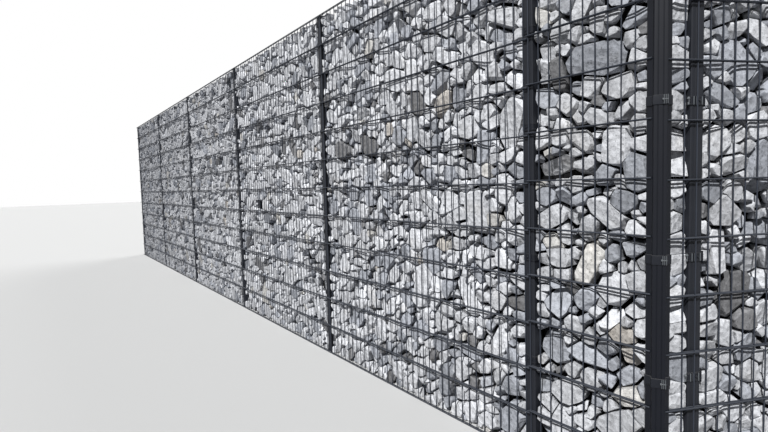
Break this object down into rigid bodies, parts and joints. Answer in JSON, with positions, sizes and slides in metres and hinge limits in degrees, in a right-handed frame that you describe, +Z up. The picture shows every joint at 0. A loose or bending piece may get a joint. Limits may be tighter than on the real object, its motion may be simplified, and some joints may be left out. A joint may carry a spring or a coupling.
{
  "type": "gabion wall",
  "caption": "Free-standing gabion wall of broken stone held in welded wire mesh between steel posts, turning one blunt corner.",
  "frame": {"origin": "where the outer mesh faces of the two wings meet at ground level, on the foot of the corner post", "axes": "+Z up; the long wing runs from the corner along -X and its outer face looks along -Y; the short wing turns back from the corner"},
  "size_m": [10.3998, 1.9628, 2.416],
  "materials": {
    "stone": "broken limestone, dry and matt",
    "mesh_coating": "satin powder coat",
    "post_coating": "satin powder coat",
    "clip_coating": "satin powder coat",
    "cap_plastic": "matt"
  },
  "bodies": {
    "root": {"corner_bands": "clip_coating", "corner_caps": "cap_plastic", "corner_post": "post_coating", "end_posts_wing_two": "post_coating", "inner_corner_post": "post_coating", "line_wires_bay_1": "mesh_coating", "line_wires_bay_2": "mesh_coating", "line_wires_bay_3": "mesh_coating", "line_wires_bay_4": "mesh_coating", "line_wires_bay_5": "mesh_coating", "line_wires_short_bay": "mesh_coating", "line_wires_wing_two": "mesh_coating", "mesh_clips_wing_one": "clip_coating", "mesh_clips_wing_two": "clip_coating", "post_caps_wing_one": "cap_plastic", "post_caps_wing_two": "cap_plastic", "posts_1": "post_coating", "posts_2": "post_coating", "posts_3": "post_coating", "posts_4": "post_coating", "posts_5": "post_coating", "posts_6": "post_coating", "second_post": "post_coating", "stone_fill_bay_1": "stone", "stone_fill_bay_2": "stone", "stone_fill_bay_3": "stone", "stone_fill_bay_4": "stone", "stone_fill_bay_5": "stone", "stone_fill_short_bay": "stone", "stone_fill_wing_two": "stone", "upright_wires_bay_1": "mesh_coating", "upright_wires_bay_2": "mesh_coating", "upright_wires_bay_3": "mesh_coating", "upright_wires_bay_4": "mesh_coating", "upright_wires_bay_5": "mesh_coating", "upright_wires_short_bay": "mesh_coating", "upright_wires_wing_two": "mesh_coating"}
  },
  "joints": []
}
